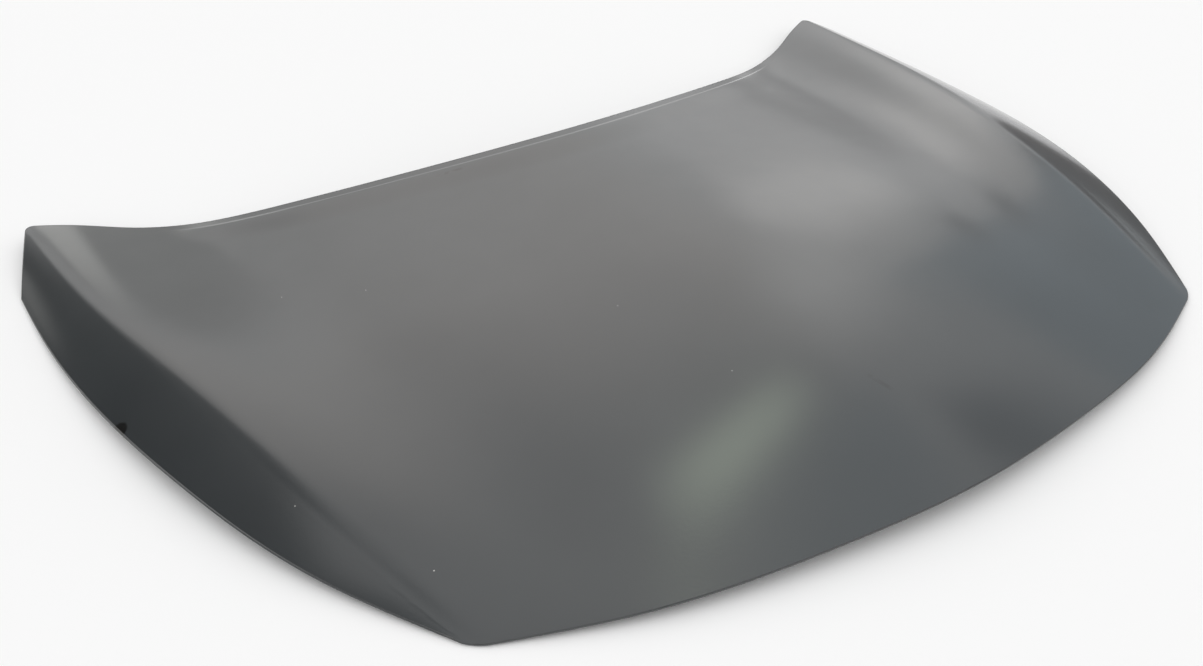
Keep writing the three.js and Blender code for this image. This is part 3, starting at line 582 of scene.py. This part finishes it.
def panel_holes():
    """Loops of everything that is punched out of the inner panel."""
    holes = [rounded_loop(in_plan(MIDDLE_CUTOUT), CUTOUT_ROUNDING)]
    for side in (-1, 1):
        holes.append(rounded_loop(in_plan(SIDE_CUTOUT, side), CUTOUT_ROUNDING))
        holes += [circle(at, ACCESS_HOLE) for at in in_plan(ACCESS_PLACES, side)]
        for end in (-0.5, 0.5):
            holes.append(circle((side * HINGE_AT[0], HINGE_AT[1] + end * HINGE_BOLTS), HINGE_BOLT_HOLE))
        for corner in (REAR_CORNER, FRONT_CORNER, SIDE_FRONT_CORNER):
            holes.append(circle((side * corner[0], corner[1]), CORNER_RELIEF))
        holes.append(circle((side * LATCH_BOLTS / 2, LATCH_AT[1]), LATCH_BOLT_HOLE))
    holes.append(round_rectangle(LATCH_AT, STRIKER_SLOT))
    holes.append(round_rectangle(in_plan([PROP_PLACE])[0], PROP_HOLE))
    return [subdivided(hole, RIM_SPACING) for hole in holes]


def ring_path():
    """The middle line in plan of the channel round the panel."""
    right = in_plan(RING_PLACES)
    return closed_curve(np.concatenate([right, mirrored(right[-2:0:-1])]), RING_STEPS)


def rib_path():
    """The middle line in plan of the right rib."""
    start, end = np.array(RIB_PLACES, float)
    return in_plan(mix(start, end, np.linspace(0, 1, RIB_POINTS)[:, None]))


def wall(distance, half_widths, floor, flange):
    """Height over a pressed channel: its floor, the flange beside it, and a soft wall between them."""
    return mix(floor, flange, smoothstep(distance, *half_widths))


def on_right_half(plan):
    """Points in plan, with those of the left half mirrored to the right."""
    return np.concatenate([np.abs(plan[:, :1]), plan[:, 1:]], axis=1)


def panel_height(plan, outline):
    """Height of the inner panel's upper face over points in plan."""
    skin, upright = skin_over(plan)
    from_edge = path_distance(plan, outline)
    depth = mix(DEPTH_IN_HEM, FLANGE_DEPTH, smoothstep(from_edge, FLANGE_STARTS, FLANGE_FULL))
    flange = skin - depth / upright
    floor = np.maximum(skin - CHANNEL_DEPTH, HINGE_LEVEL + CHANNEL_ABOVE_PAD)
    heights = [wall(path_distance(plan, ring_path()), CHANNEL_HALF_WIDTHS, floor, flange)]
    right_half = on_right_half(plan)
    rib_distance = path_distance(right_half, rib_path(), closed=False)
    heights.append(wall(rib_distance, RIB_HALF_WIDTHS, skin - RIB_DEPTH, flange))
    hinge = rectangle_distance(right_half, HINGE_AT, HINGE_PAD)
    heights.append(wall(hinge, (0, PAD_DRAFT), HINGE_LEVEL, flange))
    latch_level = skin_over(np.array([LATCH_AT], float))[0][0] - LATCH_DEPTH
    latch = rectangle_distance(plan, LATCH_AT, LATCH_PAD)
    heights.append(wall(latch, (0, PAD_DRAFT), latch_level, flange))
    return np.min(heights, axis=0)


def hexagonal_points(low, high, spacing):
    """Evenly spaced points in plan that fill a rectangle."""
    rows = np.arange(low[1], high[1], spacing * math.sqrt(0.75))
    x = np.arange(low[0], high[0], spacing) + 0.5 * spacing * (np.arange(len(rows)) % 2)[:, None]
    return np.stack([x, np.broadcast_to(rows[:, None], x.shape)], axis=-1).reshape(-1, 2)


def near_walls(plan):
    """Whether points in plan lie on or beside a pressed wall."""
    right_half = on_right_half(plan)
    near = np.zeros(len(plan), bool)
    for distance, (inner, outer) in (
        (path_distance(plan, ring_path()), CHANNEL_HALF_WIDTHS),
        (path_distance(right_half, rib_path(), closed=False), RIB_HALF_WIDTHS),
        (rectangle_distance(right_half, HINGE_AT, HINGE_PAD), (0, PAD_DRAFT)),
        (rectangle_distance(plan, LATCH_AT, LATCH_PAD), (0, PAD_DRAFT)),
    ):
        near |= (distance > inner - WALL_SPACING) & (distance < outer + WALL_SPACING)
    return near


def panel_points(loops):
    """Points in plan inside the panel, close together on its walls and wider apart elsewhere."""
    low, high = loops[0].min(axis=0), loops[0].max(axis=0)
    coarse = hexagonal_points(low, high, FLAT_SPACING)
    fine = hexagonal_points(low, high, WALL_SPACING)
    points = np.concatenate([coarse[~near_walls(coarse)], fine[near_walls(fine)]])
    points = points[is_inside(points, loops[0])]
    for loop in loops:
        near_loop = np.linalg.norm(points - loop.mean(axis=0), axis=1) < np.ptp(loop, axis=0).max()
        keep = np.ones(len(points), bool)
        keep[near_loop] = path_distance(points[near_loop], loop) > RIM_SPACING / 2
        points = points[keep]
    return points


def make_panel(outline):
    """The inner panel as a closed sheet: triangles in plan, raised to the pressed shape on both faces."""
    loops = [subdivided(outline, RIM_SPACING), *panel_holes()]
    points = panel_points(loops)
    starts = np.cumsum([0] + [len(loop) for loop in loops])
    rims = [(start + np.arange(len(loop)), start + np.roll(np.arange(len(loop)), -1))
            for start, loop in zip(starts, loops)]
    rim_edges = np.concatenate([np.stack(rim, axis=1) for rim in rims])
    plan = [Vector(point) for point in np.concatenate([*loops, points])]
    plan, _, triangles, *_ = delaunay_2d_cdt(plan, rim_edges.tolist(), [], 0, MERGE_DISTANCE)
    plan, triangles = np.array(plan), np.array(triangles)
    middles = plan[triangles].mean(axis=1)
    keep = is_inside(middles, loops[0])
    for loop in loops[1:]:
        keep &= ~is_inside(middles, loop)
    triangles = triangles[keep]
    used, triangles = np.unique(triangles, return_inverse=True)
    triangles = triangles.reshape(-1, 3)
    plan = plan[used]
    top = np.column_stack([plan, panel_height(plan, outline)])
    return sheet_from_triangles("bonnet_inner_panel", top, triangles, PANEL_THICKNESS)


def sheet_from_triangles(name, top, triangles, thickness):
    """A closed sheet below a surface of triangles, its rims joined from one face to the other."""
    first, second, third = (top[triangles[:, k]] for k in range(3))
    faces = np.cross(second - first, third - first)
    normals = np.zeros_like(top)
    for k in range(3):
        np.add.at(normals, triangles[:, k], faces)
    bottom = top - unit(normals) * thickness
    count = len(top)
    edges = np.concatenate([triangles[:, [k, (k + 1) % 3]] for k in range(3)])
    keys = edges[:, 0] * count + edges[:, 1]
    rim = edges[~np.isin(keys, edges[:, 1] * count + edges[:, 0])]
    walls = np.stack([rim[:, 1], rim[:, 0], rim[:, 0] + count, rim[:, 1] + count], axis=1)
    faces = [*triangles.tolist(), *(triangles[:, ::-1] + count).tolist(), *walls.tolist()]
    piece = mesh_piece(name, np.concatenate([top, bottom]), faces)
    piece.data.set_sharp_from_angle(angle=SHARP_ANGLE)
    return piece


def make_dab(node, outline, shift):
    """A dab of mastic between the panel's flange and the skin, squeezed out a little at its waist."""
    centre = (np.sum(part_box(node), axis=0) / 2 - shift)[:2] / MM
    turn = np.linspace(0, 2 * np.pi, DAB_SIDES, endpoint=False)
    round_about = np.stack([np.cos(turn), np.sin(turn)], axis=1)
    points = []
    for radius, level in DAB_RINGS:
        plan = centre + round_about * radius
        skin, upright = skin_over(plan)
        lower = panel_height(plan, outline) + TOUCH_GAP
        upper = skin - SKIN_THICKNESS / upright - TOUCH_GAP
        points.append(np.column_stack([plan, mix(lower, upper, level)]))
    index = np.arange(len(DAB_RINGS) * DAB_SIDES).reshape(len(DAB_RINGS), DAB_SIDES)
    ahead = np.roll(index, -1, axis=1)
    sides = np.stack([index[:-1], ahead[:-1], ahead[1:], index[1:]], axis=-1).reshape(-1, 4)
    faces = [*sides.tolist(), index[0, ::-1].tolist(), index[-1].tolist()]
    piece = mesh_piece(node.replace("mastic", "dab"), np.concatenate(points), faces)
    piece.data.set_sharp_from_angle(angle=SHARP_ANGLE)
    return piece


def mesh_piece(name, points, faces):
    """A smooth mesh object from points in millimetres."""
    mesh = bpy.data.meshes.new(name)
    mesh.from_pydata((points * MM).tolist(), [], faces)
    mesh.shade_smooth()
    mesh.validate()
    piece = bpy.data.objects.new(name, mesh)
    bpy.context.scene.collection.objects.link(piece)
    return piece


def fit_to_node(piece, node):
    """Shifts the piece's mesh onto the node's box, and shrinks it by the hair that its finer curves stand
    out. Returns the shift."""
    low, high = (np.array(corner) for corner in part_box(node))
    points = np.array([vertex.co for vertex in piece.data.vertices])
    own_low, own_high = points.min(0), points.max(0)
    scale = np.minimum(1, (high - low) / (own_high - own_low))
    middle = (low + high) / 2
    own_middle = (own_low + own_high) / 2
    fitted = middle + (points - own_middle) * scale
    fitted[:, 2] = low[2] + (points[:, 2] - own_low[2]) * scale[2]
    piece.data.vertices.foreach_set("co", fitted.ravel())
    piece.data.update()
    return np.array([*(middle - own_middle)[:2], low[2] - own_low[2]])


def repaint(node, material):
    """Gives a carried-over node a finished material."""
    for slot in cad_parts[node].material_slots:
        slot.material = material


def move_mesh(piece, shift):
    """Moves a piece's points by a shift in metres."""
    points = np.array([vertex.co for vertex in piece.data.vertices]) + shift
    piece.data.vertices.foreach_set("co", points.ravel())
    piece.data.update()


def dress(piece, node, material):
    """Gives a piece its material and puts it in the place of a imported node."""
    piece.data.materials.append(material)
    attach(piece, "root")
    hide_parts(node)


def plain_material(name, color, roughness):
    """A material of one colour and roughness, to start from."""
    material = bpy.data.materials.new(name)
    material.use_nodes = True
    shader = material.node_tree.nodes["Principled BSDF"]
    shader.inputs["Base Color"].default_value = (*color, 1)
    shader.inputs["Roughness"].default_value = roughness
    return material


def add_node(tree, kind, inputs=None, **settings):
    """Adds a shader node with its settings. An input is a number or colour, or another node's output."""
    made = tree.nodes.new(kind)
    for name, value in settings.items():
        setattr(made, name, value)
    for socket, value in (inputs or {}).items():
        if isinstance(value, bpy.types.NodeSocket):
            tree.links.new(value, made.inputs[socket])
        else:
            made.inputs[socket].default_value = value
    return made


def math_node(tree, operation, a, b=0.0):
    """The result of a sum on one or two values."""
    return add_node(tree, "ShaderNodeMath", {0: a, 1: b}, operation=operation).outputs[0]


def ramp(tree, value, low, high, bottom=0.0, top=1.0):
    """A value stretched smoothly from one range to another."""
    sockets = {"Value": value, "From Min": low, "From Max": high, "To Min": bottom, "To Max": top}
    return add_node(tree, "ShaderNodeMapRange", sockets, interpolation_type="SMOOTHSTEP").outputs[0]


def mix_color(tree, share, a, b):
    """A colour between two others, each three numbers or another node's output."""
    first, second = ((*color, 1) if isinstance(color, tuple) else color for color in (a, b))
    return add_node(tree, "ShaderNodeMix", {0: share, 6: first, 7: second}, data_type="RGBA").outputs[2]


def noise(tree, where, scale, detail, roughness=0.5):
    """A cloudy value around 0.5. The scale is the number of clouds in a metre."""
    sockets = {"Vector": where, "Scale": scale, "Detail": detail, "Roughness": roughness}
    return add_node(tree, "ShaderNodeTexNoise", sockets).outputs[0]


def spot(tree, where, centre, radius, softness):
    """1 within a radius of a point, in metres, and 0 outside it."""
    sockets = {0: where, 1: tuple(centre)}
    distance = add_node(tree, "ShaderNodeVectorMath", sockets, operation="DISTANCE").outputs["Value"]
    return ramp(tree, distance, radius * (1 - softness), radius, 1, 0)


def stroke(tree, where, start, end, radius):
    """1 along a straight mark from one point to another, fading towards both ends, and 0 beside it."""
    run = Vector(end) - Vector(start)
    sockets = {0: where, 1: tuple(start)}
    reach = add_node(tree, "ShaderNodeVectorMath", sockets, operation="SUBTRACT").outputs[0]
    sockets = {0: reach, 1: tuple(run / run.length_squared)}
    share = add_node(tree, "ShaderNodeVectorMath", sockets, operation="DOT_PRODUCT").outputs["Value"]
    held = math_node(tree, "MINIMUM", math_node(tree, "MAXIMUM", share, 0), 1)
    sockets = {0: tuple(run), "Scale": held}
    nearest = add_node(tree, "ShaderNodeVectorMath", sockets, operation="SCALE").outputs[0]
    sockets = {0: reach, 1: nearest}
    distance = add_node(tree, "ShaderNodeVectorMath", sockets, operation="DISTANCE").outputs["Value"]
    beside = ramp(tree, distance, radius * STROKE_CORE, radius, 1, 0)
    rest = math_node(tree, "SUBTRACT", 1, share)
    along = ramp(tree, math_node(tree, "MULTIPLY", share, rest), 0, STROKE_FADE)
    return math_node(tree, "MULTIPLY", beside, along)


def sprayed(name, color, roughness, dusty):
    """Sprayed primer: cloudy colour, a little dust, and the fine dimples of a coat that dried as it was."""
    material = plain_material(name, color, roughness)
    tree = material.node_tree
    shader = tree.nodes["Principled BSDF"]
    where = add_node(tree, "ShaderNodeTexCoord").outputs["Object"]
    cloudy = ramp(tree, noise(tree, where, *CLOUDS), *MIDDLE_RANGE)
    darker, lighter = (tuple(value * change for value in color) for change in CLOUD_TONES)
    tone = mix_color(tree, cloudy, darker, lighter)
    dust = ramp(tree, noise(tree, where, *DUST), *DUST_RANGE, 0, dusty)
    tree.links.new(mix_color(tree, dust, tone, DUST_COLOR), shader.inputs["Base Color"])
    glossy, matt = roughness - GLOSS_CHANGE, roughness + GLOSS_CHANGE
    tree.links.new(ramp(tree, noise(tree, where, *GLOSS_CLOUDS), *MIDDLE_RANGE, glossy, matt),
                   shader.inputs["Roughness"])
    sockets = {"Height": noise(tree, where, *DIMPLES), "Distance": DIMPLE_HEIGHT, "Strength": 1.0}
    bump = add_node(tree, "ShaderNodeBump", sockets).outputs[0]
    tree.links.new(bump, shader.inputs["Normal"])
    tree.links.new(bump, shader.inputs["Coat Normal"])
    return material


def skin_primer(shift):
    """The skin's semi-gloss primer, with the specks, rubs and scratches that the photograph shows."""
    material = sprayed("skin_primer", *SKIN_FINISH)
    tree = material.node_tree
    shader = tree.nodes["Principled BSDF"]
    shader.inputs["Coat Weight"].default_value = 1
    shader.inputs["Coat Roughness"].default_value = SKIN_COAT_ROUGHNESS
    where = add_node(tree, "ShaderNodeTexCoord").outputs["Object"]
    tone = shader.inputs["Base Color"].links[0].from_socket

    def on_skin(place):
        return Vector(skin_points(*place) * MM + shift)

    for place, radius in SPECKS:
        mark = spot(tree, where, on_skin(place), radius * MM, SPOT_SOFTNESS)
        tone = mix_color(tree, mark, tone, SPECK_COLOR)
    for start, end, radius, strength in SCRATCHES:
        mark = stroke(tree, where, on_skin(start), on_skin(end), radius * MM)
        tone = mix_color(tree, math_node(tree, "MULTIPLY", mark, strength), tone, SCRATCH_COLOR)
    broken = ramp(tree, noise(tree, where, *RUB_CLOUDS), *RUB_RANGE)
    for start, end, radius, strength in RUBS:
        mark = stroke(tree, where, on_skin(start), on_skin(end), radius * MM)
        share = math_node(tree, "MULTIPLY", math_node(tree, "MULTIPLY", mark, broken), strength)
        tone = mix_color(tree, share, tone, RUB_COLOR)
    place, radius = EDGE_MARK
    mark = spot(tree, where, on_skin(place), radius * MM, EDGE_MARK_SOFTNESS)
    tone = mix_color(tree, mark, tone, EDGE_MARK_COLOR)
    tree.links.new(tone, shader.inputs["Base Color"])
    return material


def putty():
    """Anti-flutter mastic: matt, dark, with a skin that has wrinkled a little."""
    material = plain_material("mastic", *MASTIC_FINISH)
    tree = material.node_tree
    shader = tree.nodes["Principled BSDF"]
    where = add_node(tree, "ShaderNodeTexCoord").outputs["Object"]
    wrinkles = noise(tree, where, *WRINKLES)
    tone = mix_color(tree, ramp(tree, wrinkles, *MIDDLE_RANGE), *MASTIC_TONES)
    tree.links.new(tone, shader.inputs["Base Color"])
    bump = add_node(tree, "ShaderNodeBump", {"Height": wrinkles, "Distance": WRINKLE_HEIGHT}).outputs[0]
    tree.links.new(bump, shader.inputs["Normal"])
    return material


def make_camera():
    """The photograph's viewpoint."""
    place, target = Vector(CAMERA_PLACE), Vector(CAMERA_TARGET)
    camera = bpy.data.objects.new("camera", bpy.data.cameras.new("camera"))
    camera.data.lens = CAMERA_LENS
    camera.data.sensor_width = CAMERA_SENSOR
    camera.location = place
    camera.rotation_mode = "QUATERNION"
    camera.rotation_quaternion = (target - place).to_track_quat("-Z", "Y")
    bpy.context.scene.collection.objects.link(camera)
    bpy.context.scene.camera = camera


def add_plane(name, width, length):
    """A flat rectangle that belongs to the studio."""
    mesh = bpy.data.meshes.new(name)
    x, y = width / 2, length / 2
    mesh.from_pydata([(-x, -y, 0), (x, -y, 0), (x, y, 0), (-x, y, 0)], [], [(0, 1, 2, 3)])
    plane = bpy.data.objects.new(name, mesh)
    bpy.context.scene.collection.objects.link(plane)
    return plane


def make_floor():
    """The white floor that the bonnet lies on."""
    floor = add_plane("floor", FLOOR_SIZE, FLOOR_SIZE)
    floor.data.materials.append(plain_material("floor_white", *FLOOR_FINISH))


def studio_direction(azimuth, elevation):
    """A direction from the bonnet. Azimuth 0 is towards the windscreen edge, 90 towards its right side."""
    turn, rise = math.radians(azimuth), math.radians(elevation)
    return Vector((math.sin(turn) * math.cos(rise), math.cos(turn) * math.cos(rise), math.sin(rise)))


def face_bonnet(thing, azimuth, elevation, distance):
    """Stands a thing in a direction from the bonnet, turned towards it."""
    direction = studio_direction(azimuth, elevation)
    thing.location = direction * distance
    thing.rotation_mode = "QUATERNION"
    thing.rotation_quaternion = direction.to_track_quat("Z", "Y")


def make_card(name, azimuth, elevation, distance, spread, glow, softness, roll):
    """A soft-edged studio card that only glossy paint sees. Its spread is its half width and half height
    in degrees, and its glow the light that it sends where the plain studio sends 1."""
    half_width, half_height = (distance * math.tan(math.radians(half)) for half in spread)
    card = add_plane(name, 2 * half_width, 2 * half_height)
    face_bonnet(card, azimuth, elevation, distance)
    card.rotation_quaternion = card.rotation_quaternion @ Quaternion((0, 0, 1), math.radians(roll))
    material = bpy.data.materials.new(name)
    material.use_nodes = True
    tree = material.node_tree
    tree.nodes.clear()
    where = add_node(tree, "ShaderNodeTexCoord").outputs["Object"]
    parts = add_node(tree, "ShaderNodeSeparateXYZ", {0: where}).outputs
    fades = []
    for part, half in ((parts[0], half_width), (parts[1], half_height)):
        fades.append(ramp(tree, math_node(tree, "ABSOLUTE", part), half * (1 - softness), half, 1, 0))
    share = math_node(tree, "MULTIPLY", *fades)
    clear = add_node(tree, "ShaderNodeBsdfTransparent").outputs[0]
    light = add_node(tree, "ShaderNodeEmission", {"Color": (*glow, 1)}).outputs[0]
    surface = add_node(tree, "ShaderNodeMixShader", {0: share, 1: clear, 2: light}).outputs[0]
    output = add_node(tree, "ShaderNodeOutputMaterial")
    tree.links.new(surface, output.inputs["Surface"])
    card.data.materials.append(material)
    card.visible_camera = False
    card.visible_diffuse = False
    card.visible_shadow = False
    card.visible_transmission = False


def make_studio():
    """An even white room, with the cards that the glossy skin mirrors."""
    world = bpy.data.worlds.new("studio")
    bpy.context.scene.world = world
    world.use_nodes = True
    background = world.node_tree.nodes["Background"]
    background.inputs["Color"].default_value = (1, 1, 1, 1)
    background.inputs["Strength"].default_value = 1
    for place, (name, azimuth, elevation, spread, glow, softness, roll) in enumerate(STUDIO_CARDS):
        distance = CARD_DISTANCE + place * CARD_STEP
        make_card(name, azimuth, elevation, distance, spread, glow, softness, roll)


make_camera()
make_floor()
make_studio()
skin, panel_outline = make_skin()
shift = fit_to_node(skin, "outer_skin")
dress(skin, "outer_skin", skin_primer(shift))
panel = make_panel(panel_outline)
move_mesh(panel, shift)
inner_primer = sprayed("inner_primer", *INNER_FINISH)
dress(panel, "inner_panel", inner_primer)
mastic = putty()
for node in MASTIC_NODES:
    dab = make_dab(node, panel_outline, shift)
    move_mesh(dab, shift)
    dress(dab, node, mastic)
repaint("latch_brace", inner_primer)
plate_primer = sprayed("plate_primer", *PLATE_FINISH)
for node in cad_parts:
    if node.startswith(("hinge_", "latch_reinforcement", "latch_nut")):
        repaint(node, plate_primer)
    elif node.startswith("mastic_brace"):
        repaint(node, mastic)

bpy.context.scene.view_settings.view_transform = "Standard"
